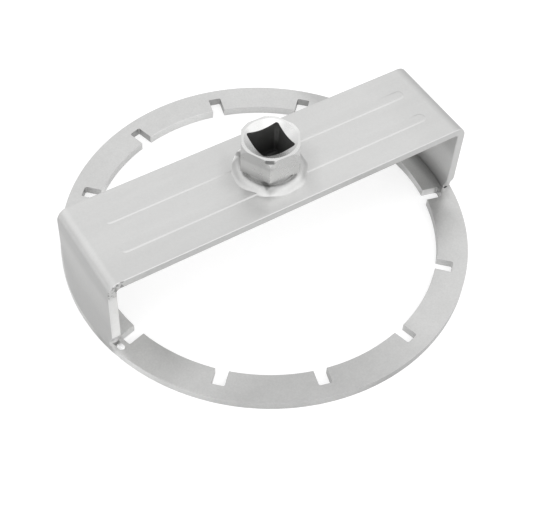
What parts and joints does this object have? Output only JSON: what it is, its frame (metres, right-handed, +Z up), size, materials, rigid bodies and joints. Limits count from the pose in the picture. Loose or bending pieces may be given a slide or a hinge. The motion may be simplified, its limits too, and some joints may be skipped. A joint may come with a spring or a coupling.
{
  "type": "fuel tank lock ring wrench",
  "caption": "Flat steel ring with square notches in its inner edge, carried by a folded bridge with a hexagonal boss and a square drive socket.",
  "frame": {"origin": "centre of the ring on its flat underside", "axes": "+X along the bridge, +Z up from the ring to the drive socket, +Y across the bridge"},
  "size_m": [0.1546, 0.1546, 0.0531],
  "materials": {
    "plate_steel": "satin plated",
    "sheet_steel": "satin plated",
    "boss_steel": "smooth plated",
    "weld_steel": "plated weld"
  },
  "bodies": {
    "root": {"lock_ring": "plate_steel", "bridge": "sheet_steel", "drive_hex": "boss_steel", "hex_weld_bead": "weld_steel", "leg_weld_left": "weld_steel", "leg_weld_right": "weld_steel"}
  },
  "joints": []
}
